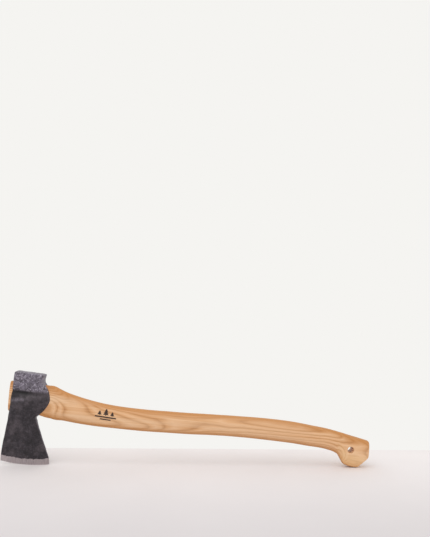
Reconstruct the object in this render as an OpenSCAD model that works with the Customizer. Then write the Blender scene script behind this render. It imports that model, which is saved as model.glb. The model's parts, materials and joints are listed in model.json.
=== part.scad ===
// Felling axe: a forged steel head on a curved wooden haft, held by a wooden wedge and a steel ring.
// Each piece is drawn square to the head: X along the haft, Z from the bit up to the poll, Y across
// the cheeks, with the middle of the eye at zero. The whole axe is then set down on its cutting
// edge and its knob, with the middle of its footprint at the origin.

/* [Head] */
// Height of the head, from the poll to the lowest point of the cutting edge
head_height = 197.5; // [165:0.5:240]
// Distance from the poll down to the middle of the eye
eye_drop = 54; // [50:0.5:60]
// Width of the poll along the haft
poll_width = 63; // [57:0.5:70]
// Thickness of the poll across the cheeks
poll_thick = 30; // [28:0.5:36]
// Fall of the poll's face towards the haft, in degrees
poll_slope = 2.3; // [0:0.1:5]
// Rounding of the poll's edges
poll_round = 2.5; // [1:0.5:4]
// Reach of the lugs past the poll, along the sides of the haft
lug_reach = 18; // [12:0.5:22]
// Half the height of the lugs
lug_half = 33; // [30:0.5:36]
// Distance from the middle of the eye back to the waist under the haft
waist_reach = 20.8; // [17:0.1:25]
// Distance from the middle of the eye forward to the toe
toe_reach = 48; // [42:0.5:56]
// Distance from the middle of the eye back to the heel
heel_reach = 56.5; // [50:0.5:64]
// Radius of the cutting edge, seen from the side
edge_radius = 300; // [200:5:500]
// Height of the ground bevel above the cutting edge
bevel_height = 12.5; // [8:0.5:18]
// Thickness of the head at the top of the bevel
bevel_thick = 4.6; // [3:0.1:6]
// Thickness left at the cutting edge
edge_thick = 0.4; // [0.3:0.1:1]

/* [Eye and tenon] */
// Length of the eye, between the poll and the cheeks
eye_length = 64; // [53:0.5:66]
// Width of the eye across the cheeks
eye_width = 20; // [16:0.5:24]
// Thickness of the wall on each side of the eye
eye_wall = 5.2; // [4:0.1:7]
// Gap between the tenon and the eye
tenon_gap = 0.1; // [0.05:0.05:0.3]
// How far the tenon stands out of the front of the head
tenon_proud = 4.5; // [1:0.5:8]
// Depth of the saw kerf in the tenon, and of the wooden wedge
kerf_depth = 50; // [35:1:58]
// Width of the kerf and the wedge at the end of the tenon
kerf_mouth = 6; // [4:0.5:8]
// Width of the kerf and the wedge at the bottom
kerf_root = 1.2; // [0.8:0.1:2]
// Gap on each side between a wedge and what it is driven into
wedge_gap = 0.1; // [0.05:0.05:0.2]
// Outer diameter of the steel ring wedge
ring_d = 14; // [10:0.5:16]
// Wall of the steel ring wedge
ring_wall = 1.8; // [1.2:0.1:2.4]
// Depth of the steel ring wedge
ring_depth = 14; // [10:0.5:20]

/* [Haft] */
// Length of the haft, from the end of the tenon to the end of the knob
haft_length = 770.4; // [640:0.1:930]
// Depth of the haft at the shoulder, just behind the lugs
shoulder_depth = 69.5; // [66:0.5:74]
// Depth of the haft at the neck, a quarter of the way down
neck_depth = 48; // [42:0.5:54]
// Depth of the haft at the grip
grip_depth = 43.8; // [38:0.5:48]
// Depth of the swell ahead of the knob
swell_depth = 45.6; // [40:0.5:50]
// Depth of the throat, where the knob begins
throat_depth = 43.4; // [38:0.5:48]
// Width of the haft behind the shoulder
neck_width = 28; // [25:0.5:31]
// Width of the haft at the grip
grip_width = 26; // [23:0.5:29]

/* [Knob] */
// Depth of the knob at its deepest
knob_depth = 64.5; // [53:0.5:74]
// Width of the knob
knob_width = 30; // [27:0.5:34]
// Length of the knob
knob_length = 63.5; // [56:0.5:76]
// Rounding around the end of the knob
knob_round = 3; // [2:0.5:5]
// Length of the slanted cut at the toe of the knob
toe_cut = 19; // [10:0.5:22]
// Slant of that cut from the haft's line, in degrees
toe_slant = 50; // [40:1:65]
// Diameter of the hang hole
hang_hole_d = 13; // [8:0.5:16]
// Distance from the end of the knob to the hang hole
hang_hole_back = 39.5; // [32:0.5:44]
// Distance from the upper edge of the knob down to the hang hole
hang_hole_down = 28; // [24:0.5:36]
// Length of the straight wall of the hang hole, between its two countersinks
hang_hole_wall = 26; // [20:0.5:28]

/* [Hidden] */
// Points round a section of the head, and of the haft
head_facets = 40;
haft_facets = 32;
// The hole and the ring are round
$fn = 64;
// Cuts run this far past what they cut
past = 10;

// A smooth curve through [place, value] stations that are listed in order of place. Between two
// stations it is a cubic, and its slope at a station leans towards the nearer neighbour.
function step(s, i) = (s[i + 1][1] - s[i][1]) / (s[i + 1][0] - s[i][0]);
function gap(s, i) = s[i + 1][0] - s[i][0];
function slope(s, i) =
    i == 0 ? step(s, 0)
    : i == len(s) - 1 ? step(s, i - 1)
    : (gap(s, i) * step(s, i - 1) + gap(s, i - 1) * step(s, i)) / (gap(s, i - 1) + gap(s, i));
function cubic(s, i, t) =
    s[i][1] * (2 * t * t * t - 3 * t * t + 1)
    + slope(s, i) * gap(s, i) * (t * t * t - 2 * t * t + t)
    + s[i + 1][1] * (3 * t * t - 2 * t * t * t)
    + slope(s, i + 1) * gap(s, i) * (t * t * t - t * t);
function curve(s, at, i = 0) =
    at <= s[0][0] ? s[0][1]
    : at >= s[len(s) - 1][0] ? s[len(s) - 1][1]
    : at > s[i + 1][0] ? curve(s, at, i + 1)
    : cubic(s, i, (at - s[i][0]) / gap(s, i));
function mix(a, b, t) = a + (b - a) * t;

// A rounded section: its long axis runs from low to high, and it is half thick on each side of
// it. Power 2 is an ellipse, and a higher power is squarer.
function oval(low, high, half, power, count) = [
    for (i = [0:count - 1])
        let (c = cos(360 * i / count), s = sin(360 * i / count))
            [
                (low + high) / 2 + (high - low) / 2 * c,
                half * sign(s) * pow(max(0, 1 - pow(abs(c), power)), 1 / power)
            ]
];

// How far a quarter-round edge draws a section in, this far from the end
function edge_inset(radius, from_end) =
    from_end >= radius ? 0 : radius - sqrt(pow(radius, 2) - pow(radius - from_end, 2));

// One skin over a row of rings that have the same number of points. Each end is closed by
// strips between the two sides of its ring, so that a bent end ring closes along its bend.
function side_faces(rings, count) = [
    for (r = [0:rings - 2], i = [0:count - 1])
        let (j = (i + 1) % count)
            [r * count + i, r * count + j, (r + 1) * count + j, (r + 1) * count + i]
];
function end_faces(first, count) = [
    for (i = [0:count / 2 - 1])
        i == 0 ? [first + 1, first, first + count - 1]
        : i == count / 2 - 1 ? [first + i + 1, first + i, first + i + 2]
        : [first + i + 1, first + i, first + count - i, first + count - i - 1]
];
function turned(faces) = [for (f = faces) [for (k = [len(f) - 1:-1:0]) f[k]]];
module skin(rings) {
    count = len(rings[0]);
    polyhedron(
        points = [for (r = rings) each r],
        faces = concat(
            end_faces(0, count),
            side_faces(len(rings), count),
            turned(end_faces((len(rings) - 1) * count, count))
        ),
        convexity = 6
    );
}

// ---- Outline of the head, by distance down from the poll ----
waist_below_lugs = 6.5;
bevel_top = head_height - bevel_height;
waist_drop = eye_drop + lug_half + waist_below_lugs;
edge_centre = 1; // middle of the edge, ahead of which it curves up to the toe and behind it to the heel
poll_half = poll_width / 2;

// How much higher the cutting edge lies at x than at its lowest point
function edge_rise(x) = edge_radius - sqrt(pow(edge_radius, 2) - pow(x - edge_centre, 2));
toe_drop = head_height - edge_rise(-toe_reach);
heel_drop = head_height - edge_rise(heel_reach);

// Front of the head: it leans forward all the way from the poll to the toe
front_edge = [
    [0, -poll_half],
    [eye_drop + lug_half, -mix(poll_half, toe_reach, 0.38)],
    [toe_drop, -toe_reach],
    [head_height, -toe_reach]
];
// Back of the head: straight at the poll, out round the lugs, in to the waist, out to the heel
rear_edge = [
    [0, poll_half],
    [eye_drop - lug_half, poll_half],
    [eye_drop - 0.67 * lug_half, poll_half + 0.55 * lug_reach],
    [eye_drop - 0.33 * lug_half, poll_half + 0.88 * lug_reach],
    [eye_drop, poll_half + lug_reach],
    [eye_drop + 0.33 * lug_half, poll_half + 0.87 * lug_reach],
    [eye_drop + 0.67 * lug_half, poll_half + 0.51 * lug_reach],
    [eye_drop + lug_half, mix(poll_half, waist_reach, 0.2)],
    [waist_drop, waist_reach],
    [mix(waist_drop, heel_drop, 0.1), mix(waist_reach, heel_reach, 0.06)],
    [mix(waist_drop, heel_drop, 0.36), mix(waist_reach, heel_reach, 0.33)],
    [mix(waist_drop, heel_drop, 0.75), mix(waist_reach, heel_reach, 0.77)],
    [heel_drop, heel_reach],
    [head_height, heel_reach]
];
// Half the thickness: a full poll, a shallow groove under it, the swell of the eye, the cheeks
eye_half = eye_width / 2 + eye_wall;
cheek_run = bevel_top - eye_drop - lug_half;
head_half = [
    [0, poll_thick / 2],
    [eye_drop - lug_half, poll_thick / 2 + 0.4],
    [eye_drop - 14, eye_half - 0.9],
    [eye_drop, eye_half],
    [eye_drop + lug_half, mix(eye_half, bevel_thick / 2, 0.18)],
    [eye_drop + lug_half + 0.3 * cheek_run, mix(eye_half, bevel_thick / 2, 0.49)],
    [eye_drop + lug_half + 0.65 * cheek_run, mix(eye_half, bevel_thick / 2, 0.78)],
    [bevel_top, bevel_thick / 2]
];
// The poll is nearly square in plan, and the cheeks are rounder
head_power = [[0, 9], [eye_drop, 5.5], [waist_drop, 4], [head_height, 4]];

// Straight-sided bevel below the cheeks
function half_at(drop) =
    drop < bevel_top ? curve(head_half, drop)
    : mix(bevel_thick / 2, edge_thick / 2, (drop - bevel_top) / bevel_height);
// Rings are flat at the poll and bend to the curve of the edge at the bevel
function bend_at(drop) =
    let (t = min(1, max(0, (drop - waist_drop) / (bevel_top - waist_drop)))) t * t * (3 - 2 * t);
// The poll's face falls towards the haft; the rings are level again where the lugs begin
function poll_fall(x, drop) =
    tan(poll_slope) * (x + poll_half) * max(0, 1 - max(0, drop) / (eye_drop - lug_half));
function head_ring(drop) =
    let (
        inset = edge_inset(poll_round, max(0, drop + poll_dome)),
        front = curve(front_edge, drop) + inset,
        rear = curve(rear_edge, drop) - inset
    ) [
        for (p = oval(front, rear, half_at(drop) - inset, curve(head_power, drop), head_facets))
            [p[0], p[1], eye_drop - drop + bend_at(drop) * edge_rise(p[0]) - poll_fall(p[0], drop)]
    ];
// The forging stands this far above the poll before its face is ground flat
poll_dome = 0.6;
head_drops = concat(
    [for (t = [0:0.2:1]) mix(-poll_dome, poll_round, t * t)],
    [for (d = [poll_round + 4:4:waist_drop + 8]) d],
    [for (t = [1:14]) mix(waist_drop + 8, bevel_top, t / 14)],
    [mix(bevel_top, head_height, 0.5), head_height]
);
head_rings = [for (d = head_drops) head_ring(d)];

// ---- Outline of the haft, by distance along X ----
tenon_end = curve(front_edge, eye_drop) - tenon_proud;
haft_end = tenon_end + haft_length;
shoulder_behind_lugs = 3.5;
shoulder = poll_half + lug_reach + shoulder_behind_lugs;
throat = haft_end - knob_length;
knob_flare = 20; // length over which the belly flares out to the knob
knob_taper = 34; // length over which the knob draws in to its end
knob_thinning = 0.3; // half the width lost at each end of the knob
throat_run = 26; // length over which the grip turns down into the knob
grip_end = throat - throat_run;
function grip_at(t) = mix(shoulder, grip_end, t);

shoulder_fall = 3.2; // how far the back of the haft falls from the tenon to the shoulder
knob_rise = 9.5; // how much the belly rises along the knob's taper

// The back, or upper edge: nearly level through the eye, a slope behind the shoulder, then a long curve
haft_back = [
    [tenon_end, eye_length / 2],
    [shoulder - 12, eye_length / 2 - 0.875 * shoulder_fall],
    [shoulder, eye_length / 2 - shoulder_fall],
    [grip_at(0.02), 24.2],
    [grip_at(0.045), 18.6],
    [grip_at(0.09), 11.6],
    [grip_at(0.14), 5.6],
    [grip_at(0.22), -0.2],
    [grip_at(0.31), -2.3],
    [grip_at(0.44), -1.7],
    [grip_at(0.66), 2.1],
    [grip_at(0.78), 3.2],
    [grip_at(0.88), 1.1],
    [grip_at(0.94), -2.4],
    [grip_end, -6.2],
    [throat, -10.8],
    [haft_end - knob_taper, -17],
    [haft_end, -24]
];
haft_depth = [
    [tenon_end, eye_length],
    [waist_reach, eye_length + 0.8],
    [shoulder - 8, shoulder_depth - 0.6],
    [shoulder, shoulder_depth],
    [grip_at(0.045), mix(shoulder_depth, neck_depth, 0.4)],
    [grip_at(0.09), mix(shoulder_depth, neck_depth, 0.6)],
    [grip_at(0.14), mix(shoulder_depth, neck_depth, 0.78)],
    [grip_at(0.22), neck_depth],
    [grip_at(0.34), mix(neck_depth, grip_depth, 0.5)],
    [grip_at(0.5), mix(neck_depth, grip_depth, 0.78)],
    [grip_at(0.64), grip_depth],
    [grip_at(0.81), swell_depth],
    [grip_at(0.92), mix(swell_depth, throat_depth, 0.4)],
    [grip_end, throat_depth],
    [throat - 0.35 * knob_flare, throat_depth + 1.5],
    [throat, mix(throat_depth, knob_depth, 0.2)],
    [throat + 0.3 * knob_flare, mix(throat_depth, knob_depth, 0.56)],
    [throat + 0.65 * knob_flare, mix(throat_depth, knob_depth, 0.94)],
    [throat + knob_flare, knob_depth],
    [haft_end - knob_taper, knob_depth],
    [haft_end, knob_depth - knob_rise]
];
haft_half = [
    [tenon_end, eye_width / 2],
    [shoulder - 20, eye_width / 2],
    [shoulder - 3, eye_width / 2],
    [grip_at(0.04), mix(eye_width, neck_width, 0.7) / 2],
    [grip_at(0.1), neck_width / 2],
    [grip_at(0.18), neck_width / 2],
    [grip_at(0.32), neck_width / 2],
    [grip_at(0.5), mix(neck_width, grip_width, 0.5) / 2],
    [grip_at(0.7), grip_width / 2],
    [grip_at(0.96), grip_width / 2],
    [grip_end, grip_width / 2],
    [throat + 1.1 * knob_flare, knob_width / 2 - knob_thinning],
    [haft_end - 0.75 * knob_taper, knob_width / 2],
    [haft_end, knob_width / 2 - 2 * knob_thinning]
];
// Squareness: full at the tenon and the knob, a plump oval along the grip
haft_power = [
    [tenon_end, 3], [shoulder - 20, 3], [shoulder, 3],
    [grip_at(0.05), 2.6], [grip_at(0.12), 2.4], [grip_at(0.3), 2.4],
    [grip_at(0.6), 2.4], [grip_at(0.9), 2.4], [grip_end, 2.5],
    [haft_end - knob_taper, 2.9], [haft_end, 3]
];

// One ring of the haft at x, grown all round by a clearance
function haft_ring(x, grow = 0) =
    let (
        inset = edge_inset(knob_round, haft_end - x) - grow,
        back = curve(haft_back, x),
        belly = back - curve(haft_depth, x)
    ) [
        for (p = oval(belly + inset, back - inset, curve(haft_half, x) - inset,
                      curve(haft_power, x), haft_facets))
            [x, p[1], p[0]]
    ];
// Rings inside the head, shared by the tenon and the eye that is cut for it
eye_places = [for (t = [0:8]) mix(tenon_end, shoulder, t / 8)];
haft_places = concat(
    eye_places,
    [for (t = [1:14]) mix(shoulder, grip_at(0.14), t / 14)],
    [for (t = [1:28]) mix(grip_at(0.14), grip_end, t / 28)],
    [for (t = [1:22]) mix(grip_end, haft_end - knob_round, t / 22)],
    [for (t = [0.25, 0.5, 0.75, 1]) haft_end - knob_round * pow(1 - t, 2)]
);
haft_rings = [for (x = haft_places) haft_ring(x)];

// ---- Setting the axe down on its edge and its knob ----
edge_points = head_ring(head_height);
knob_points = [
    for (r = haft_rings, p = r)
        if (p[0] > throat + knob_flare && p[0] < haft_end - toe_cut) p
];
// The line that touches both from below
rest_slope = min([
    for (k = knob_points)
        max([for (e = edge_points) (k[2] - e[2]) / (k[0] - e[0])])
]);
rest_tilt = atan(rest_slope);
function rest_x(p) = p[0] * cos(rest_tilt) + p[2] * sin(rest_tilt);
function rest_z(p) = p[2] * cos(rest_tilt) - p[0] * sin(rest_tilt);
rest_low = min([for (p = edge_points) rest_z(p)]);
rest_front = min([for (p = edge_points) rest_x(p)]);
rest_back = max([for (r = haft_rings, p = r) rest_x(p)]);
module at_rest() {
    translate([-(rest_front + rest_back) / 2, 0, -rest_low])
        rotate([0, rest_tilt, 0])
            children();
}

// ---- Pieces that one module cuts and another fills ----

// The eye: the haft's own rings grown by the tenon's gap, run out past both sides of the head
module eye_cut() {
    first = haft_ring(tenon_end, tenon_gap);
    last = haft_ring(shoulder, tenon_gap);
    skin(concat(
        [[for (p = first) p - [past, 0, 0]]],
        [for (x = eye_places) haft_ring(x, tenon_gap)],
        [[for (p = last) p + [past, 0, 0]]]
    ));
}

// Tapered slot along the middle of the tenon, with a gap taken off each side
module kerf(off, run_out) {
    slant = (kerf_mouth - kerf_root) / 2 / kerf_depth;
    translate([tenon_end, 0, -eye_length])
        linear_extrude(2 * eye_length)
            polygon([
                [-run_out, kerf_mouth / 2 + slant * run_out - off],
                [kerf_depth - off, kerf_root / 2 - off],
                [kerf_depth - off, off - kerf_root / 2],
                [-run_out, off - kerf_mouth / 2 - slant * run_out]
            ]);
}

// The steel ring, grown by a gap, with its driving edge thinned from inside
module ring_shape(grow, run_out) {
    outer = ring_d / 2 + grow;
    inner = ring_d / 2 - ring_wall - grow;
    translate([tenon_end, 0, 0])
        rotate([0, 90, 0])
            rotate_extrude()
                polygon([
                    [inner, -run_out],
                    [outer, -run_out],
                    [outer, ring_depth + grow],
                    [outer - ring_wall / 3 - 2 * grow, ring_depth + grow],
                    [inner, ring_depth / 2]
                ]);
}

// ---- The pieces ----

// One steel forging: poll, eye, lugs, cheeks and ground bit
module axe_head() {
    color("#3e393d")
        at_rest()
            difference() {
                skin(head_rings);
                translate([-poll_half, 0, eye_drop])
                    rotate([0, poll_slope, 0])
                        translate([-past, -poll_thick, 0])
                            cube([poll_width + 2 * past, 2 * poll_thick, past]);
                eye_cut();
            }
}

// One piece of wood: tenon, shoulder, curved grip and knob
module haft() {
    knob_low = curve(haft_back, haft_end) - curve(haft_depth, haft_end);
    color("#deb585")
        at_rest()
            difference() {
                skin(haft_rings);
                kerf(0, past);
                ring_shape(wedge_gap, past);
                hang_hole();
                translate([haft_end - toe_cut, -knob_width, knob_low])
                    rotate([0, -toe_slant, 0])
                        translate([-past, 0, -knob_depth])
                            cube([knob_depth, 2 * knob_width, knob_depth]);
            }
}

// Hole through the knob with a light countersink at each side
module hang_hole() {
    hole_x = haft_end - hang_hole_back;
    hole_z = curve(haft_back, hole_x) - hang_hole_down;
    translate([hole_x, 0, hole_z])
        rotate([90, 0, 0]) {
            cylinder(d = hang_hole_d, h = 2 * knob_width, center = true);
            for (side = [0, 180])
                rotate([side, 0, 0])
                    translate([0, 0, hang_hole_wall / 2])
                        cylinder(d1 = hang_hole_d, d2 = hang_hole_d + 2 * past, h = past);
        }
}

// Wooden wedge: fills the kerf and is trimmed flush with the tenon
module wooden_wedge() {
    color("#c4965f")
        at_rest()
            difference() {
                intersection() {
                    kerf(wedge_gap, 0);
                    skin([for (x = eye_places) haft_ring(x)]);
                }
                ring_shape(wedge_gap, past);
            }
}

// Steel ring driven into the end of the tenon, across the wooden wedge
module ring_wedge() {
    color("#8b8d90")
        at_rest()
            ring_shape(0, 0);
}

axe_head();
haft();
wooden_wedge();
ring_wedge();
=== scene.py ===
import json
from math import atan2, cos, exp, pi, radians, sin, sqrt, tan

import bmesh
import bpy
from mathutils import Matrix, Vector
from mathutils.bvhtree import BVHTree


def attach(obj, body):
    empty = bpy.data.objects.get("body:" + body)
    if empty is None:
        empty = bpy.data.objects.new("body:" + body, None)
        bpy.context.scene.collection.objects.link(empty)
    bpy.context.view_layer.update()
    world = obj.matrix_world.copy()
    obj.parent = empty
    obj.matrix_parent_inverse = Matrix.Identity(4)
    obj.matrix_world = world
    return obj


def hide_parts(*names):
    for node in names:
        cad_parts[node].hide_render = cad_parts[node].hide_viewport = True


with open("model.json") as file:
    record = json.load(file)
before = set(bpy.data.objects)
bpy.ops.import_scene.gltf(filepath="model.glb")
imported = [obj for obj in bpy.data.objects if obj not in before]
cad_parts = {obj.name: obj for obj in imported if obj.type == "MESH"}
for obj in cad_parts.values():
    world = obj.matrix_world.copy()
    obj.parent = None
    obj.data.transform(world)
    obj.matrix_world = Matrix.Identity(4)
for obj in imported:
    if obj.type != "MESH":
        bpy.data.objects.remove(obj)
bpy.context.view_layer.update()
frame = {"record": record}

# The axe is drawn in its own frame, in millimetres: X along the haft from the centre of the eye,
# Z from the bit to the poll, Y across the cheeks. At rest it leans on the bit and the knob.
MM = 0.001
EYE_DROP = 54
HEAD_HEIGHT = 197.5
EDGE_RADIUS = 300
EDGE_MIDDLE = 1
BEVEL_TOP = 185
WAIST_DROP = 93.5

# The poll's face falls towards the haft, so the whole axe leans by that much less than the face does.
POLL_SLOPE = radians(2.3)
POLL_HALF = 31.5
poll = next(m for m in frame["record"]["mounts"] if m["name"] == "poll_face")
LEAN = atan2(poll["axis"][0], poll["axis"][2]) - POLL_SLOPE
poll_height = (EYE_DROP - tan(POLL_SLOPE) * POLL_HALF) * MM
EYE = Vector(poll["pos_m"]) - Vector((sin(LEAN), 0, cos(LEAN))) * poll_height
AT_REST = Matrix.Translation(EYE) @ Matrix.Rotation(LEAN, 4, "Y")


def mix(a, b, part):
    return a + (b - a) * part


def curve(stations, at):
    """Smooth line through stations of [place, value]."""
    if at <= stations[0][0]:
        return stations[0][1]
    if at >= stations[-1][0]:
        return stations[-1][1]
    i = next(k for k in range(len(stations) - 1) if at <= stations[k + 1][0])

    def gap(k):
        return stations[k + 1][0] - stations[k][0]

    def step(k):
        return (stations[k + 1][1] - stations[k][1]) / gap(k)

    def slope(k):
        if k == 0:
            return step(0)
        if k == len(stations) - 1:
            return step(k - 1)
        return (gap(k) * step(k - 1) + gap(k - 1) * step(k)) / (gap(k - 1) + gap(k))

    t = (at - stations[i][0]) / gap(i)
    return (
        stations[i][1] * (2 * t**3 - 3 * t**2 + 1)
        + slope(i) * gap(i) * (t**3 - 2 * t**2 + t)
        + stations[i + 1][1] * (3 * t**2 - 2 * t**3)
        + slope(i + 1) * gap(i) * (t**3 - t**2)
    )


def edge_rise(x):
    return EDGE_RADIUS - sqrt(EDGE_RADIUS**2 - (x - EDGE_MIDDLE) ** 2)


def round_over(radius, from_end):
    """How far a surface draws in near an end that is rounded over."""
    if from_end >= radius:
        return 0
    return radius - sqrt(max(0, radius**2 - (radius - from_end) ** 2))


# ---------------------------------------------------------------- node helpers


def linear(code):
    """sRGB hex to the linear colour that shaders take."""
    levels = [int(code[i : i + 2], 16) / 255 for i in (1, 3, 5)]
    return (*[v / 12.92 if v <= 0.04045 else ((v + 0.055) / 1.055) ** 2.4 for v in levels], 1)


def node(tree, kind, inputs=None, stops=None, **settings):
    """Adds a node, sets its settings and its inputs; an input that is a node or a socket is linked."""
    made = tree.nodes.new(kind)
    for name, value in settings.items():
        setattr(made, name, value)
    for place, value in (inputs or {}).items():
        if isinstance(value, bpy.types.Node):
            value = value.outputs[0]
        if isinstance(value, bpy.types.NodeSocket):
            tree.links.new(value, made.inputs[place])
        else:
            made.inputs[place].default_value = value
    for k, (at, value) in enumerate(stops or []):
        spots = made.color_ramp.elements
        spot = spots[k] if k < 2 else spots.new(at)
        spot.position = at
        spot.color = linear(value) if isinstance(value, str) else (value, value, value, 1)
    return made


def new_material(name):
    made = bpy.data.materials.new(name)
    made.use_nodes = True
    return made, made.node_tree, made.node_tree.nodes["Principled BSDF"]


def own_place(tree):
    """The axe's own frame, in metres, from the piece's Object coordinates."""
    object_place = node(tree, "ShaderNodeTexCoord").outputs["Object"]
    return node(
        tree, "ShaderNodeMapping",
        {"Vector": object_place, "Location": EYE, "Rotation": (0, LEAN, 0)},
        vector_type="TEXTURE",
    )


# ---------------------------------------------------------------- materials


def oiled_ash():
    """Ash, drawknifed, sanded and oiled with linseed: pale straw with pinkish latewood lines.
    Rings from a pith line that runs slightly askew give long lines and cathedral points on the sides
    and arcs on the end grain; short dark pores follow the grain."""
    material, tree, shader = new_material("oiled_ash")
    place = own_place(tree)
    # The whole figure waves slowly, over some 300 mm lengthwise and 90 mm across.
    slow = node(tree, "ShaderNodeMapping", {"Vector": place, "Scale": (3.3, 11, 11)})
    wander = node(
        tree, "ShaderNodeTexNoise", {"Vector": slow, "Scale": 1, "Detail": 2, "Roughness": 0.4},
        normalize=True,
    )
    wander_off = node(
        tree, "ShaderNodeVectorMath", {0: wander.outputs["Color"], 1: (0.5, 0.5, 0.5)}, operation="SUBTRACT",
    )
    waved = node(
        tree, "ShaderNodeVectorMath", {0: wander_off, 1: (0, 0.006, 0.008), 2: place},
        operation="MULTIPLY_ADD",
    )
    cut = node(tree, "ShaderNodeSeparateXYZ", {0: waved})
    # The haft swings 34 mm down towards the knob, and the grain follows nearly all of that.
    sag = node(tree, "ShaderNodeMath", {0: cut.outputs["X"], 1: cut.outputs["X"]}, operation="MULTIPLY")
    height = node(tree, "ShaderNodeMath", {0: sag, 1: 0.06, 2: cut.outputs["Z"]}, operation="MULTIPLY_ADD")
    centred = node(tree, "ShaderNodeMath", {0: height, 1: 0.016}, operation="ADD")
    depth = node(
        tree, "ShaderNodeMath", {0: cut.outputs["X"], 1: 0.013, 2: cut.outputs["Y"]},
        operation="MULTIPLY_ADD",
    )
    depth_from_pith = node(tree, "ShaderNodeMath", {0: depth, 1: 0.055}, operation="SUBTRACT")
    flat = node(tree, "ShaderNodeCombineXYZ", {"X": depth_from_pith, "Y": centred})
    radius = node(tree, "ShaderNodeVectorMath", {0: flat}, operation="LENGTH")
    # Rings 1.5 mm apart.
    rings = node(tree, "ShaderNodeMath", {0: radius.outputs["Value"], 1: 1 / 0.0015}, operation="MULTIPLY")
    ring = node(tree, "ShaderNodeMath", {0: rings}, operation="FRACT")
    ring_tone = node(
        tree, "ShaderNodeValToRGB", {"Fac": ring},
        stops=[
            (0.0, "#a66c38"), (1.0, "#b98049"), (0.1, "#be8752"), (0.26, "#ddac7c"), (0.62, "#eabf95"),
            (0.88, "#d6a06c"),
        ],
    )
    # Fibres along the grain, 2 to 3 mm wide, from honey to cream.
    streak_place = node(tree, "ShaderNodeMapping", {"Vector": waved, "Scale": (4, 380, 380)})
    streak = node(
        tree, "ShaderNodeTexNoise", {"Vector": streak_place, "Scale": 1, "Detail": 3, "Roughness": 0.6},
    )
    streak_tone = node(
        tree, "ShaderNodeValToRGB", {"Fac": streak},
        stops=[(0.3, "#bd8450"), (0.72, "#f3d0a8"), (0.5, "#dca87a")],
    )
    toned = node(
        tree, "ShaderNodeMix", {0: 0.36, 6: ring_tone, 7: streak_tone}, data_type="RGBA", blend_type="MIX",
    )
    # Broad bands of sapwood cream and heartwood honey.
    band_place = node(tree, "ShaderNodeMapping", {"Vector": waved, "Scale": (2.5, 60, 60)})
    band = node(tree, "ShaderNodeTexNoise", {"Vector": band_place, "Scale": 1, "Detail": 1})
    band_mask = node(
        tree, "ShaderNodeMapRange",
        {"Value": band, "From Min": 0.42, "From Max": 0.68, "To Min": 0.0, "To Max": 0.5},
    )
    banded = node(
        tree, "ShaderNodeMix", {0: band_mask.outputs[0], 6: toned.outputs[2], 7: linear("#eac8a4")},
        data_type="RGBA", blend_type="MIX",
    )
    # Painted shade: the upper and lower sides of the haft, which turn away from the front light, are painted
    # darker and more golden.
    across = node(tree, "ShaderNodeAttribute", attribute_name="across")
    outer = node(tree, "ShaderNodeMath", {0: across.outputs["Fac"]}, operation="ABSOLUTE")
    edge_shade_mask = node(
        tree, "ShaderNodeMapRange",
        {"Value": outer, "From Min": 0.42, "From Max": 0.96, "To Min": 0.0, "To Max": 0.8},
        interpolation_type="SMOOTHSTEP",
    )
    edge_shaded = node(
        tree, "ShaderNodeMix", {0: edge_shade_mask.outputs[0], 6: banded.outputs[2], 7: linear("#b9772f")},
        data_type="RGBA", blend_type="MIX",
    )
    # Painted light: the flats at the end of the knob, cut with a rasp, are painted paler, standing in for
    # light thrown up from the floor.
    pared = node(tree, "ShaderNodeAttribute", attribute_name="pared")
    facet_light = node(tree, "ShaderNodeMath", {0: pared.outputs["Fac"], 1: 0.5}, operation="MULTIPLY")
    facet_lit = node(
        tree, "ShaderNodeMix", {0: facet_light, 6: edge_shaded.outputs[2], 7: linear("#f3cd9a")}, data_type="RGBA",
        blend_type="MIX",
    )
    # Pores: 0.3 mm wide and some 12 mm long in life, drawn 1 mm wide so that they show.
    pore_place = node(tree, "ShaderNodeMapping", {"Vector": waved, "Scale": (32, 900, 900)})
    pore = node(
        tree, "ShaderNodeTexNoise", {"Vector": pore_place, "Scale": 1, "Detail": 1.5, "Roughness": 0.6},
    )
    pore_mask = node(
        tree, "ShaderNodeMapRange",
        {"Value": pore, "From Min": 0.56, "From Max": 0.74, "To Min": 0.0, "To Max": 0.30},
    )
    poured = node(
        tree, "ShaderNodeMix", {0: pore_mask.outputs[0], 6: facet_lit.outputs[2], 7: linear("#a87448")},
        data_type="RGBA", blend_type="MIX",
    )
    tree.links.new(poured.outputs[2], shader.inputs["Base Color"])
    gloss = node(tree, "ShaderNodeMapRange", {"Value": pore, "To Min": 0.38, "To Max": 0.56})
    tree.links.new(gloss.outputs[0], shader.inputs["Roughness"])
    grain = node(tree, "ShaderNodeBump", {"Strength": 0.25, "Distance": 0.0003, "Height": pore})
    tree.links.new(grain.outputs[0], shader.inputs["Normal"])
    shader.inputs["IOR"].default_value = 1.48
    return material


def scorched_ash():
    """The maker's mark is pressed in with a hot iron: matt, brown-black, a little uneven."""
    material, tree, shader = new_material("scorched_ash")
    place = own_place(tree)
    patch = node(tree, "ShaderNodeTexNoise", {"Vector": place, "Scale": 420, "Detail": 3})
    tone = node(tree, "ShaderNodeValToRGB", {"Fac": patch}, stops=[(0.3, "#2c2220"), (0.75, "#4d3a30")])
    tree.links.new(tone.outputs[0], shader.inputs["Base Color"])
    dent = node(tree, "ShaderNodeBump", {"Strength": 0.4, "Distance": 0.0002, "Height": patch})
    tree.links.new(dent.outputs[0], shader.inputs["Normal"])
    shader.inputs["Roughness"].default_value = 0.85
    return material


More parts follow.
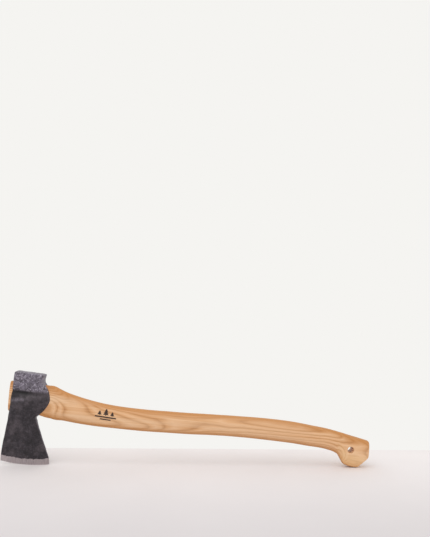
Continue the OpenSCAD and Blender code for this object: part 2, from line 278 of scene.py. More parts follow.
def split_wedge_wood():
    """A dry hardwood wedge, split and sawn off with the tenon: straw end grain with saw marks."""
    material, tree, shader = new_material("split_wedge_wood")
    place = own_place(tree)
    fibre_place = node(tree, "ShaderNodeMapping", {"Vector": place, "Scale": (40, 1400, 260)})
    fibre = node(
        tree, "ShaderNodeTexNoise", {"Vector": fibre_place, "Scale": 1, "Detail": 4, "Roughness": 0.6},
    )
    saw_place = node(
        tree, "ShaderNodeMapping", {"Vector": place, "Rotation": (0.5, 0, 0), "Scale": (60, 900, 60)},
    )
    saw = node(tree, "ShaderNodeTexNoise", {"Vector": saw_place, "Scale": 1, "Detail": 1})
    both = node(tree, "ShaderNodeMath", {0: fibre, 1: saw}, operation="ADD")
    half = node(tree, "ShaderNodeMath", {0: both, 1: 0.5}, operation="MULTIPLY")
    tone = node(tree, "ShaderNodeValToRGB", {"Fac": half}, stops=[(0.3, "#8f6638"), (0.7, "#cfa26b")])
    tree.links.new(tone.outputs[0], shader.inputs["Base Color"])
    rough = node(tree, "ShaderNodeBump", {"Strength": 0.6, "Distance": 0.0004, "Height": half})
    tree.links.new(rough.outputs[0], shader.inputs["Normal"])
    shader.inputs["Roughness"].default_value = 0.7
    return material


def black_forged_steel():
    """Carbon steel left black from the forge: purple-grey scale, mottled and pitted by the hammer,
    brighter on the poll, partly from wear and partly as painted sheen. The bevels are ground bare on a wet
    stone, so that the edge shows pale steel with fine marks across it and a ragged border where the stone met
    the scale."""
    material, tree, shader = new_material("black_forged_steel")
    place = own_place(tree)
    cut = node(tree, "ShaderNodeSeparateXYZ", {0: place})
    # Cloudy scale: patches of 12 mm on a nearly black ground.
    cloud = node(tree, "ShaderNodeTexNoise", {"Vector": place, "Scale": 85, "Detail": 5, "Roughness": 0.62})
    scale_tone = node(
        tree, "ShaderNodeValToRGB", {"Fac": cloud},
        stops=[(0.3, "#181416"), (0.76, "#463f44"), (0.53, "#272226")],
    )
    # Faint greyer patches of 40 mm on the cheeks.
    patch = node(tree, "ShaderNodeTexNoise", {"Vector": place, "Scale": 26, "Detail": 4, "Roughness": 0.7})
    patch_mask = node(
        tree, "ShaderNodeMapRange",
        {"Value": patch, "From Min": 0.46, "From Max": 0.7, "To Min": 0.0, "To Max": 0.75},
    )
    patched = node(
        tree, "ShaderNodeMix", {0: patch_mask.outputs[0], 6: scale_tone, 7: linear("#5d5459")},
        data_type="RGBA", blend_type="MIX",
    )
    # The poll is painted brighter, with blotches of 8 mm and flecks of 3 mm: partly scale hammered bare,
    # partly painted sheen of the light on its face.
    poll_wear_and_sheen = node(
        tree, "ShaderNodeMapRange",
        {"Value": cut.outputs["Z"], "From Min": 0.011, "From Max": 0.021, "To Min": 0.06, "To Max": 1.0},
        interpolation_type="SMOOTHSTEP",
    )
    blotch = node(tree, "ShaderNodeTexNoise", {"Vector": place, "Scale": 125, "Detail": 5, "Roughness": 0.72})
    blotch_mask = node(
        tree, "ShaderNodeMapRange",
        {"Value": blotch, "From Min": 0.36, "From Max": 0.6, "To Min": 0.15, "To Max": 0.95},
    )
    blotch_here = node(
        tree, "ShaderNodeMath", {0: blotch_mask.outputs[0], 1: poll_wear_and_sheen.outputs[0]}, operation="MULTIPLY",
    )
    blotched = node(
        tree, "ShaderNodeMix", {0: blotch_here, 6: patched.outputs[2], 7: linear("#7f7886")},
        data_type="RGBA", blend_type="MIX",
    )
    fleck = node(tree, "ShaderNodeTexNoise", {"Vector": place, "Scale": 300, "Detail": 4, "Roughness": 0.72})
    fleck_mask = node(
        tree, "ShaderNodeMapRange",
        {"Value": fleck, "From Min": 0.53, "From Max": 0.64, "To Min": 0.0, "To Max": 0.9},
    )
    fleck_here = node(
        tree, "ShaderNodeMath", {0: fleck_mask.outputs[0], 1: poll_wear_and_sheen.outputs[0]}, operation="MULTIPLY",
    )
    flecked = node(
        tree, "ShaderNodeMix", {0: fleck_here, 6: blotched.outputs[2], 7: linear("#bdb6c4")},
        data_type="RGBA", blend_type="MIX",
    )
    # Painted shade: the hollow under the poll is painted near black.
    hollow_shade = node(tree, "ShaderNodeAttribute", attribute_name="hollow_shade")
    hollow_shaded = node(
        tree, "ShaderNodeMix", {0: hollow_shade.outputs["Fac"], 6: flecked.outputs[2], 7: linear("#0f0d0f")},
        data_type="RGBA", blend_type="MIX",
    )
    # Painted highlight: the poll's lower rim and the crest of the eye's swell are painted lighter.
    painted_highlight = node(tree, "ShaderNodeAttribute", attribute_name="painted_highlight")
    painted_highlight_here = node(
        tree, "ShaderNodeMath", {0: painted_highlight.outputs["Fac"], 1: blotch_mask.outputs[0]}, operation="MULTIPLY",
    )
    highlighted = node(
        tree, "ShaderNodeMix", {0: painted_highlight_here, 6: hollow_shaded.outputs[2], 7: linear("#958e99")}, data_type="RGBA",
        blend_type="MIX",
    )
    # The narrow rear side of the head, towards the haft, is painted lighter.
    across = node(tree, "ShaderNodeAttribute", attribute_name="across")
    heel_rim = node(
        tree, "ShaderNodeMapRange",
        {"Value": across.outputs["Fac"], "From Min": 0.95, "From Max": 1.0, "To Min": 0.0, "To Max": 0.35},
    )
    rimmed = node(
        tree, "ShaderNodeMix", {0: heel_rim.outputs[0], 6: highlighted.outputs[2], 7: linear("#7d7480")},
        data_type="RGBA", blend_type="MIX",
    )
    # Ground bevel.
    above = node(tree, "ShaderNodeAttribute", attribute_name="above_edge")
    ragged = node(tree, "ShaderNodeTexNoise", {"Vector": place, "Scale": 130, "Detail": 5, "Roughness": 0.66})
    wavy = node(tree, "ShaderNodeTexNoise", {"Vector": place, "Scale": 38, "Detail": 1})
    ragged_mm = node(
        tree, "ShaderNodeMath", {0: ragged, 1: 9.0, 2: above.outputs["Fac"]}, operation="MULTIPLY_ADD",
    )
    border = node(tree, "ShaderNodeMath", {0: wavy, 1: 3.5, 2: ragged_mm}, operation="MULTIPLY_ADD")
    ground = node(
        tree, "ShaderNodeMapRange",
        {"Value": border, "From Min": 18.9, "From Max": 19.6, "To Min": 1.0, "To Max": 0.0},
    )
    stone_place = node(
        tree, "ShaderNodeMapping", {"Vector": place, "Rotation": (0, 0.35, 0), "Scale": (1100, 60, 60)},
    )
    stone = node(
        tree, "ShaderNodeTexNoise", {"Vector": stone_place, "Scale": 1, "Detail": 2, "Roughness": 0.6},
    )
    bare_tone = node(tree, "ShaderNodeValToRGB", {"Fac": stone}, stops=[(0.3, "#988e90"), (0.7, "#c6bdbf")])
    colour = node(
        tree, "ShaderNodeMix", {0: ground.outputs[0], 6: rimmed.outputs[2], 7: bare_tone}, data_type="RGBA",
        blend_type="MIX",
    )
    tree.links.new(colour.outputs[2], shader.inputs["Base Color"])
    metal = node(tree, "ShaderNodeMapRange", {"Value": ground.outputs[0], "To Min": 0.35, "To Max": 1.0})
    tree.links.new(metal.outputs[0], shader.inputs["Metallic"])
    scale_gloss = node(tree, "ShaderNodeMapRange", {"Value": cloud, "To Min": 0.62, "To Max": 0.42})
    gloss = node(
        tree, "ShaderNodeMix", {0: ground.outputs[0], 2: scale_gloss.outputs[0], 3: 0.36}, data_type="FLOAT",
    )
    tree.links.new(gloss.outputs[0], shader.inputs["Roughness"])
    # Hammer pits of 3 mm on the scale, stone marks on the bevel.
    pits = node(
        tree, "ShaderNodeMix", {0: ground.outputs[0], 2: fleck.outputs[0], 3: stone.outputs[0]},
        data_type="FLOAT",
    )
    relief = node(tree, "ShaderNodeBump", {"Strength": 0.55, "Distance": 0.0006, "Height": pits.outputs[0]})
    lumps = node(
        tree, "ShaderNodeBump", {"Strength": 0.5, "Distance": 0.0014, "Height": cloud, "Normal": relief},
    )
    tree.links.new(lumps.outputs[0], shader.inputs["Normal"])
    return material


def turned_ring_steel():
    """Mild steel tube, turned and driven in with a hammer: bright, with fine rings round it."""
    material, tree, shader = new_material("turned_ring_steel")
    place = own_place(tree)
    lines_place = node(tree, "ShaderNodeMapping", {"Vector": place, "Scale": (4000, 120, 120)})
    lines = node(tree, "ShaderNodeTexNoise", {"Vector": lines_place, "Scale": 1, "Detail": 2})
    tone = node(tree, "ShaderNodeValToRGB", {"Fac": lines}, stops=[(0.3, "#77767a"), (0.7, "#a2a1a5")])
    tree.links.new(tone.outputs[0], shader.inputs["Base Color"])
    gloss = node(tree, "ShaderNodeMapRange", {"Value": lines, "To Min": 0.28, "To Max": 0.45})
    tree.links.new(gloss.outputs[0], shader.inputs["Roughness"])
    shader.inputs["Metallic"].default_value = 1.0
    return material


def pale_board():
    """Matt painted board for the floor: warm off-white, faintly cloudy, with painted shade that greys it
    towards the front.
    """
    material, tree, shader = new_material("pale_board")
    place = node(tree, "ShaderNodeTexCoord").outputs["Object"]
    cloud = node(tree, "ShaderNodeTexNoise", {"Vector": place, "Scale": 3, "Detail": 3})
    tone = node(tree, "ShaderNodeValToRGB", {"Fac": cloud}, stops=[(0.3, "#e8e3e4"), (0.7, "#f0ebec")])
    cut = node(tree, "ShaderNodeSeparateXYZ", {0: place})
    # Painted shade: the floor is painted greyer towards the front, for light falling off towards the camera.
    front = node(
        tree, "ShaderNodeMapRange",
        {"Value": cut.outputs["Y"], "From Min": -0.55, "From Max": 0.1, "To Min": 1.0, "To Max": 0.0},
    )
    front_shaded = node(
        tree, "ShaderNodeMix", {0: front.outputs[0], 6: tone, 7: linear("#cbc7ca")}, data_type="RGBA",
        blend_type="MIX",
    )
    tree.links.new(front_shaded.outputs[2], shader.inputs["Base Color"])
    shader.inputs["Roughness"].default_value = 0.9
    shader.inputs["Specular IOR Level"].default_value = 0.1
    return material


# ---------------------------------------------------------------- swept ovals


def swept_ovals_tree():
    """Geometry Nodes: skins a table of rings. Each ring is an oval with its own centre, halves and
    squareness; rings of the bit bend to the arc of the cutting edge; a fixed noise roughens the skin."""
    tree = bpy.data.node_groups.new("swept_ovals", "GeometryNodeTree")
    sockets = tree.interface
    sockets.new_socket("Ring Table", in_out="INPUT", socket_type="NodeSocketGeometry")
    for name, kind, value in (
        ("Points Around", "Int", 96), ("Crowding", "Float", 1.0), ("Long Way", "Vector", (0, 0, 1)),
        ("Edge Radius", "Float", 0.3), ("Edge Middle", "Float", 0.001),
        ("Lump Size", "Float", 0.03), ("Lump Depth", "Float", 0.0001),
        ("Pit Size", "Float", 0.003), ("Pit Depth", "Float", 0.0), ("Seed", "Float", 0.0),
    ):
        sockets.new_socket(name, in_out="INPUT", socket_type="NodeSocket" + kind).default_value = value
    sockets.new_socket("Finish", in_out="INPUT", socket_type="NodeSocketMaterial")
    sockets.new_socket("Skin", in_out="OUTPUT", socket_type="NodeSocketGeometry")
    given = node(tree, "NodeGroupInput").outputs

    rings = node(tree, "GeometryNodeAttributeDomainSize", {0: given["Ring Table"]}, component="MESH")
    last = node(tree, "ShaderNodeMath", {0: rings.outputs["Point Count"], 1: 1}, operation="SUBTRACT")
    tube = node(
        tree, "GeometryNodeMeshCylinder",
        {"Vertices": given["Points Around"], "Side Segments": last, "Radius": 1.0, "Depth": 1.0},
        fill_type="NGON",
    )
    raw = node(tree, "ShaderNodeSeparateXYZ", {0: node(tree, "GeometryNodeInputPosition")})
    from_top = node(tree, "ShaderNodeMath", {0: 0.5, 1: raw.outputs["Z"]}, operation="SUBTRACT")
    ring_place = node(tree, "ShaderNodeMath", {0: from_top, 1: last}, operation="MULTIPLY")
    ring = node(tree, "FunctionNodeFloatToInt", {0: ring_place}, rounding_mode="ROUND")

    def from_table(name, kind="FLOAT"):
        if name == "position":
            value = node(tree, "GeometryNodeInputPosition").outputs[0]
        else:
            value = node(
                tree, "GeometryNodeInputNamedAttribute", {"Name": name}, data_type=kind,
            ).outputs["Attribute"]
        return node(
            tree, "GeometryNodeSampleIndex",
            {"Geometry": given["Ring Table"], "Value": value, "Index": ring}, data_type=kind, domain="POINT",
        )

    centre = from_table("position", "FLOAT_VECTOR")
    half_long = from_table("half_long")
    half_thick = from_table("half_thick")
    power = from_table("squareness")
    bend = from_table("bend")

    # Place on the oval |u|^p + |v|^p = 1, with the points crowded towards its long sides.
    u_raw = node(tree, "ShaderNodeMath", {0: raw.outputs["X"], 1: given["Crowding"]}, operation="MULTIPLY")
    u_size = node(tree, "ShaderNodeMath", {0: u_raw}, operation="ABSOLUTE")
    v_size = node(tree, "ShaderNodeMath", {0: raw.outputs["Y"]}, operation="ABSOLUTE")
    u_pow = node(tree, "ShaderNodeMath", {0: u_size, 1: power}, operation="POWER")
    v_pow = node(tree, "ShaderNodeMath", {0: v_size, 1: power}, operation="POWER")
    both = node(tree, "ShaderNodeMath", {0: u_pow, 1: v_pow}, operation="ADD")
    minus = node(tree, "ShaderNodeMath", {0: -1.0, 1: power}, operation="DIVIDE")
    reach = node(tree, "ShaderNodeMath", {0: both, 1: minus}, operation="POWER")
    u = node(tree, "ShaderNodeMath", {0: u_raw, 1: reach}, operation="MULTIPLY")
    v = node(tree, "ShaderNodeMath", {0: raw.outputs["Y"], 1: reach}, operation="MULTIPLY")
    along = node(tree, "ShaderNodeMath", {0: u, 1: half_long}, operation="MULTIPLY")
    aside = node(tree, "ShaderNodeMath", {0: v, 1: half_thick}, operation="MULTIPLY")
    long_move = node(tree, "ShaderNodeVectorMath", {0: given["Long Way"], "Scale": along}, operation="SCALE")
    side_move = node(tree, "ShaderNodeCombineXYZ", {"Y": aside})
    moved = node(tree, "ShaderNodeVectorMath", {0: centre, 1: long_move}, operation="ADD")
    shape = node(tree, "ShaderNodeVectorMath", {0: moved, 1: side_move}, operation="ADD")
    # Rise of the cutting edge: R - sqrt(R^2 - (x - middle)^2).
    shape_parts = node(tree, "ShaderNodeSeparateXYZ", {0: shape})
    from_middle = node(
        tree, "ShaderNodeMath", {0: shape_parts.outputs["X"], 1: given["Edge Middle"]}, operation="SUBTRACT",
    )
    from_middle_2 = node(tree, "ShaderNodeMath", {0: from_middle, 1: from_middle}, operation="MULTIPLY")
    radius_2 = node(
        tree, "ShaderNodeMath", {0: given["Edge Radius"], 1: given["Edge Radius"]}, operation="MULTIPLY",
    )
    rest_2 = node(tree, "ShaderNodeMath", {0: radius_2, 1: from_middle_2}, operation="SUBTRACT")
    rest = node(tree, "ShaderNodeMath", {0: rest_2}, operation="SQRT")
    rise = node(tree, "ShaderNodeMath", {0: given["Edge Radius"], 1: rest}, operation="SUBTRACT")
    lift = node(tree, "ShaderNodeMath", {0: rise, 1: bend}, operation="MULTIPLY")
    lift_way = node(tree, "ShaderNodeCombineXYZ", {"Z": lift})
    final = node(tree, "ShaderNodeVectorMath", {0: shape, 1: lift_way}, operation="ADD")

    kept = tube.outputs["Mesh"]
    for name, value in (
        ("across", u), ("above_edge", from_table("above_edge")), ("relief", from_table("relief")),
    ):
        kept = node(
            tree, "GeometryNodeStoreNamedAttribute", {"Geometry": kept, "Name": name, "Value": value},
            data_type="FLOAT", domain="POINT",
        ).outputs[0]
    skin = node(tree, "GeometryNodeSetPosition", {"Geometry": kept, "Position": final})

    # Relief along the normal: soft lumps and small pits.
    seed_shift = node(tree, "ShaderNodeCombineXYZ", {"X": given["Seed"], "Y": given["Seed"]})
    here = node(
        tree, "ShaderNodeVectorMath", {0: node(tree, "GeometryNodeInputPosition"), 1: seed_shift},
        operation="ADD",
    )
    worn = None
    for size, deep in (("Lump Size", "Lump Depth"), ("Pit Size", "Pit Depth")):
        per_metre = node(tree, "ShaderNodeMath", {0: 1.0, 1: given[size]}, operation="DIVIDE")
        noise = node(tree, "ShaderNodeTexNoise", {"Vector": here, "Scale": per_metre, "Detail": 2.0})
        centred = node(tree, "ShaderNodeMath", {0: noise, 1: 0.5}, operation="SUBTRACT")
        amount = node(tree, "ShaderNodeMath", {0: centred, 1: given[deep]}, operation="MULTIPLY")
        worn = amount if worn is None else node(tree, "ShaderNodeMath", {0: worn, 1: amount}, operation="ADD")
    mask = node(tree, "GeometryNodeInputNamedAttribute", {"Name": "relief"}, data_type="FLOAT")
    masked = node(tree, "ShaderNodeMath", {0: worn, 1: mask.outputs["Attribute"]}, operation="MULTIPLY")
    push = node(
        tree, "ShaderNodeVectorMath", {0: node(tree, "GeometryNodeInputNormal"), "Scale": masked},
        operation="SCALE",
    )
    rough = node(tree, "GeometryNodeSetPosition", {"Geometry": skin, "Offset": push})
    smooth = node(tree, "GeometryNodeSetShadeSmooth", {"Geometry": rough})
    real = node(tree, "GeometryNodeRealizeInstances", {"Geometry": smooth})
    finished = node(tree, "GeometryNodeSetMaterial", {"Geometry": real, "Material": given["Finish"]})
    node(tree, "NodeGroupOutput", {"Skin": finished})
    return tree


SWEPT_OVALS = swept_ovals_tree()


def link_new(name, mesh):
    made = bpy.data.objects.new(name, mesh)
    bpy.context.scene.collection.objects.link(made)
    return made


def swept(name, rings, sizes):
    """rings: (centre, half_long, half_thick, squareness, bend, above_edge, relief), in millimetres."""
    table = bpy.data.meshes.new(name + "_rings")
    table.from_pydata([Vector(r[0]) * MM for r in rings], [(k, k + 1) for k in range(len(rings) - 1)], [])
    for column, (label, unit) in enumerate(
        (
            ("half_long", MM), ("half_thick", MM), ("squareness", 1), ("bend", 1), ("above_edge", 1),
            ("relief", 1),
        ),
        1
    ):
        values = table.attributes.new(label, "FLOAT", "POINT")
        values.data.foreach_set("value", [r[column] * unit for r in rings])
    holder = link_new(name + "_holder", table)
    modifier = holder.modifiers.new("swept_ovals", "NODES")
    modifier.node_group = SWEPT_OVALS
    for item in SWEPT_OVALS.interface.items_tree:
        if item.name in sizes:
            modifier[item.identifier] = sizes[item.name]
    seen = bpy.context.evaluated_depsgraph_get()
    mesh = bpy.data.meshes.new_from_object(holder.evaluated_get(seen))
    mesh.name = name
    mesh.materials.clear()
    mesh.materials.append(sizes["Finish"])
    mesh.polygons.foreach_set("material_index", [0] * len(mesh.polygons))
    bpy.data.objects.remove(holder)
    shape = bmesh.new()
    shape.from_mesh(mesh)
    bmesh.ops.triangulate(shape, faces=[f for f in shape.faces if len(f.verts) > 4])
    shape.to_mesh(mesh)
    shape.free()
    return link_new(name, mesh)


def cut_with(piece, cutter):
    """Cuts the cutter's shape out of the piece, for good, and drops the cutter."""
    for finish in piece.data.materials:
        cutter.data.materials.append(finish)
    modifier = piece.modifiers.new("cut", "BOOLEAN")
    modifier.operation = "DIFFERENCE"
    modifier.solver = "EXACT"
    modifier.object = cutter
    seen = bpy.context.evaluated_depsgraph_get()
    mesh = bpy.data.meshes.new_from_object(piece.evaluated_get(seen))
    piece.modifiers.clear()
    piece.data = mesh
    bpy.data.objects.remove(cutter)


def finish_mesh(piece, sharp=35):
    """Puts a piece drawn in the axe's own frame at its place in the row, faces outwards."""
    piece.data.transform(AT_REST)
    shape = bmesh.new()
    shape.from_mesh(piece.data)
    bmesh.ops.remove_doubles(shape, verts=shape.verts, dist=0.000002)
    bmesh.ops.recalc_face_normals(shape, faces=shape.faces)
    shape.to_mesh(piece.data)
    shape.free()
    piece.data.shade_smooth()
    piece.data.set_sharp_from_angle(angle=radians(sharp))
    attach(piece, "root")
    return piece


def solid_of_rows(name, rows, close_rows=False):
    """A closed mesh from rows of points, each row a closed loop; the first and last are capped."""
    shape = bmesh.new()
    made = [[shape.verts.new(Vector(p) * MM) for p in row] for row in rows]
    size = len(rows[0])
    pairs = list(zip(made, made[1:])) + ([(made[-1], made[0])] if close_rows else [])
    for one, two in pairs:
        for k in range(size):
            shape.faces.new((one[k], one[(k + 1) % size], two[(k + 1) % size], two[k]))
    if not close_rows:
        shape.faces.new(made[0][::-1])
        shape.faces.new(made[-1])
    bmesh.ops.recalc_face_normals(shape, faces=shape.faces)
    mesh = bpy.data.meshes.new(name)
    shape.to_mesh(mesh)
    shape.free()
    return link_new(name, mesh)


# ---------------------------------------------------------------- shape of the haft

TENON_END = -39.75
SHOULDER = 53
HAFT_END = 730.65
THROAT = 667.15
GRIP_END = 641.15
EYE_LENGTH, EYE_WIDTH = 64, 20
SHOULDER_DEPTH, NECK_DEPTH, GRIP_DEPTH = 69.5, 48, 43.8
SWELL_DEPTH, THROAT_DEPTH, KNOB_DEPTH = 45.6, 43.4, 64.5
NECK_WIDTH, GRIP_WIDTH, KNOB_WIDTH = 28, 26, 30
KNOB_TAPER, KNOB_RISE = 34, 9.5


def grip_at(part):
    return mix(SHOULDER, GRIP_END, part)


HAFT_BACK = [
    [TENON_END, 32], [41, 29.2], [SHOULDER, 28.8],
    [grip_at(0.02), 24.2], [grip_at(0.045), 18.6], [grip_at(0.09), 11.6], [grip_at(0.14), 5.6],
    [grip_at(0.22), -0.2], [grip_at(0.31), -2.3], [grip_at(0.44), -1.7], [grip_at(0.66), 2.1],
    [grip_at(0.78), 3.2], [grip_at(0.88), 1.1], [grip_at(0.94), -2.4], [GRIP_END, -6.2],
    [THROAT, -10.8], [HAFT_END - KNOB_TAPER, -17], [HAFT_END, -24],
]
HAFT_DEPTH = [
    [TENON_END, EYE_LENGTH], [22, EYE_LENGTH + 0.8], [45, SHOULDER_DEPTH - 0.6], [SHOULDER, SHOULDER_DEPTH],
    [grip_at(0.045), mix(SHOULDER_DEPTH, NECK_DEPTH, 0.4)],
    [grip_at(0.09), mix(SHOULDER_DEPTH, NECK_DEPTH, 0.6)],
    [grip_at(0.14), mix(SHOULDER_DEPTH, NECK_DEPTH, 0.78)], [grip_at(0.22), NECK_DEPTH],
    [grip_at(0.34), mix(NECK_DEPTH, GRIP_DEPTH, 0.5)], [grip_at(0.5), mix(NECK_DEPTH, GRIP_DEPTH, 0.78)],
    [grip_at(0.64), GRIP_DEPTH], [grip_at(0.81), SWELL_DEPTH],
    [grip_at(0.92), mix(SWELL_DEPTH, THROAT_DEPTH, 0.4)],
    [GRIP_END, THROAT_DEPTH], [THROAT - 7, THROAT_DEPTH + 1.5], [THROAT, mix(THROAT_DEPTH, KNOB_DEPTH, 0.2)],
    [THROAT + 6, mix(THROAT_DEPTH, KNOB_DEPTH, 0.56)], [THROAT + 13, mix(THROAT_DEPTH, KNOB_DEPTH, 0.94)],
    [THROAT + 20, KNOB_DEPTH], [HAFT_END - KNOB_TAPER, KNOB_DEPTH],
    [HAFT_END, KNOB_DEPTH - KNOB_RISE],
]
HAFT_HALF = [
    [TENON_END, EYE_WIDTH / 2], [SHOULDER - 20, EYE_WIDTH / 2], [SHOULDER - 3, EYE_WIDTH / 2],
    [grip_at(0.04), mix(EYE_WIDTH, NECK_WIDTH, 0.7) / 2], [grip_at(0.1), NECK_WIDTH / 2],
    [grip_at(0.18), NECK_WIDTH / 2], [grip_at(0.32), NECK_WIDTH / 2],
    [grip_at(0.5), mix(NECK_WIDTH, GRIP_WIDTH, 0.5) / 2], [grip_at(0.7), GRIP_WIDTH / 2],
    [grip_at(0.96), GRIP_WIDTH / 2], [GRIP_END, GRIP_WIDTH / 2], [THROAT + 22, KNOB_WIDTH / 2 - 0.3],
    [HAFT_END - 25.5, KNOB_WIDTH / 2], [HAFT_END, KNOB_WIDTH / 2 - 0.6],
]
HAFT_POWER = [
    [TENON_END, 3], [SHOULDER - 20, 3], [SHOULDER, 3], [grip_at(0.05), 2.6], [grip_at(0.12), 2.4],
    [grip_at(0.3), 2.4], [grip_at(0.6), 2.4], [grip_at(0.9), 2.4], [GRIP_END, 2.5],
    [HAFT_END - KNOB_TAPER, 2.9], [HAFT_END, 3],
]
KNOB_ROUND = 3
TENON_ROUND = 0.8
TOE_CUT, TOE_SLANT = 19, radians(50)


def haft_oval(x):
    """Back, belly, half width and squareness of the haft at a place along it."""
    inset = max(round_over(KNOB_ROUND, HAFT_END - x), round_over(TENON_ROUND, x - TENON_END))
    back = curve(HAFT_BACK, x)
    belly = back - curve(HAFT_DEPTH, x)
    return back - inset, belly + inset, curve(HAFT_HALF, x) - inset, curve(HAFT_POWER, x)


def haft_side(x, z):
    """Y of the haft's left side."""
    back, belly, half, power = haft_oval(x)
    across = min(1, abs((z - (back + belly) / 2) / ((back - belly) / 2)))
    return -half * (1 - across**power) ** (1 / power)


def end_ring(x, long, thick, scale):
    """One ring of an end face, drawn in towards its middle."""
    back, belly, _, power = haft_oval(x)
    return (x, 0, (back + belly) / 2), long * scale, thick * scale, power, 0, 100, 0


def pare(piece, on, out, ease, start, full):
    """Cuts the piece back to a plane, with an eased arris; the cut deepens from start to full along X."""
    on, out, ease = Vector(on) * MM, Vector(out).normalized(), ease * MM
    pared = piece.data.attributes.get("pared") or piece.data.attributes.new("pared", "FLOAT", "POINT")
    for vertex in piece.data.vertices:
        along = min(1, max(0, (vertex.co.x / MM - start) / (full - start)))
        past = (vertex.co - on).dot(out)
        if along > 0 and past > -ease:
            wanted = -((ease - past) ** 2) / (4 * ease) if past < ease else 0
            vertex.co += out * (wanted - past) * along
            pared.data[vertex.index].value = max(
                pared.data[vertex.index].value, along * min(1, 0.5 + past / ease / 2),
            )


def make_haft(finish):
    places = [TENON_END + TENON_ROUND * (t / 4) ** 2 for t in range(4)]
    steps = 330
    start, end = TENON_END + TENON_ROUND, HAFT_END - KNOB_ROUND
    places += [mix(start, end, t / steps) for t in range(steps + 1)]
    places += [HAFT_END - KNOB_ROUND * (1 - t / 6) ** 2 for t in range(1, 7)]
    rings = []
    for x in places:
        back, belly, half, power = haft_oval(x)
        relief = 1 if x > SHOULDER + 10 else 0
        rings.append(((x, 0, (back + belly) / 2), (back - belly) / 2, half, power, 0, 100, relief))
    # Each end face is a few flat rings and not one large face.
    back, belly, half, _ = haft_oval(HAFT_END)
    for scale in (0.8, 0.5, 0.2, 0.02):
        rings.insert(0, end_ring(TENON_END, EYE_LENGTH / 2, EYE_WIDTH / 2, scale))
        rings.append(end_ring(HAFT_END, (back - belly) / 2, half, scale))
    haft = swept("ash_haft", rings, {
        "Points Around": 112, "Crowding": 0.75, "Long Way": (0.0, 0.0, 1.0),
        "Lump Size": 0.045, "Lump Depth": 0.0006, "Pit Size": 0.012, "Pit Depth": 0.0001,
        "Seed": 3.0, "Finish": finish,
    })
    # The knob is shaped with a rasp: a flat low on each side, the chin drawn in ahead of it, and the
    # toe sawn off aslant.
    for side in (-1, 1):
        pare(haft, (707, side * 14.4, -57.7), (-0.022, side * 0.965, -0.26), 1.2, 668, 684)
        pare(haft, (678.1, side * 13.6, -48.1), (-0.35, side * 0.906, -0.237), 1.2, 662, 678)
    knob_low = curve(HAFT_BACK, HAFT_END) - curve(HAFT_DEPTH, HAFT_END)
    pare(
        haft, (HAFT_END - TOE_CUT, 0, knob_low), (sin(TOE_SLANT), 0, -cos(TOE_SLANT)), 1.8, THROAT,
        THROAT + 1,
    )
    # Kerf for the wedge, sawn 50 mm deep through the tenon.
    mouth, root, depth = 3.0, 0.6, 50
    slant = (mouth - root) / depth
    kerf = solid_of_rows("kerf", [
        [(x, y, z) for y, z in ((-h, -45), (h, -45), (h, 45), (-h, 45))]
        for x, h in ((TENON_END - 5, mouth + slant * 5), (TENON_END + depth, root))
    ])
    cut_with(haft, kerf)
    # Hang hole, bored across the knob, its rims broken with a countersink.
    hole_x = HAFT_END - 39.5
    hole_z = curve(HAFT_BACK, hole_x) - 28
    wall = haft_side(hole_x, hole_z)
    profile = [(wall - 3, 9.2), (wall - 0.2, 7.3), (wall + 0.5, 6.72), (wall + 1.3, 6.5)]
    profile += [(-y, r) for y, r in reversed(profile)]
    hole = solid_of_rows("hole", [
        [(hole_x + r * cos(2 * pi * k / 48), y, hole_z + r * sin(2 * pi * k / 48)) for k in range(48)]
        for y, r in profile
    ])
    cut_with(haft, hole)
    return finish_mesh(haft, 40)


# ---------------------------------------------------------------- burnt mark


def make_burnt_mark(finish, haft):
    """Three small fir trees over a ground line, a plain stand-in pressed into the left side."""
    surface = BVHTree.FromObject(haft, bpy.context.evaluated_depsgraph_get())
    middle = Vector((169.4, -19.7))
    flat = []

    def tree_shape(at, foot, tall, wide):
        for k, (low, high, spread) in enumerate(((0.12, 0.52, 1.0), (0.34, 0.76, 0.78), (0.58, 1.0, 0.54))):
            flat.append([
                (at - wide / 2 * spread, foot + tall * low), (at + wide / 2 * spread, foot + tall * low),
                (at, foot + tall * high),
            ])
        trunk, trunk_top = wide * 0.06, foot + tall * 0.13
        left, right = at - trunk, at + trunk
        flat.append([(left, foot), (right, foot), (right, trunk_top), (left, trunk_top)])

    tree_shape(0, -1.5, 15, 13)
    tree_shape(-13.5, -1.5, 10, 10)
    tree_shape(13.5, -1.5, 10, 10)
    for wide, low, high in ((46, -5.8, -3.0), (24, -10.6, -8.2)):
        flat.append([(-wide / 2, low), (wide / 2, low), (wide / 2 - 0.8, high), (-wide / 2 + 0.8, high)])
    shape = bmesh.new()
    for outline in flat:
        face = shape.faces.new([shape.verts.new((x, z, 0)) for x, z in outline])
        bmesh.ops.triangulate(shape, faces=[face])
    for _ in range(4):
        long_edges = [e for e in shape.edges if e.calc_length() > 1.6]
        bmesh.ops.subdivide_edges(shape, edges=long_edges, cuts=1)
    bmesh.ops.triangulate(shape, faces=shape.faces)
    tilt = Matrix.Rotation(radians(-3), 2)
    for vertex in shape.verts:
        x, z = tilt @ Vector(vertex.co.xy) + middle
        place, normal, _, _ = surface.ray_cast(
            AT_REST @ (Vector((x, -KNOB_WIDTH, z)) * MM), Vector((0, 1, 0)),
        )
        vertex.co = place + normal * 0.1 * MM
    mesh = bpy.data.meshes.new("burnt_mark")
    shape.to_mesh(mesh)
    shape.free()
    mesh.materials.append(finish)
    mark = link_new("burnt_mark", mesh)
    for face in mark.data.polygons:
        if face.normal.y > 0:
            face.flip()
    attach(mark, "root")
    return mark


# ---------------------------------------------------------------- head

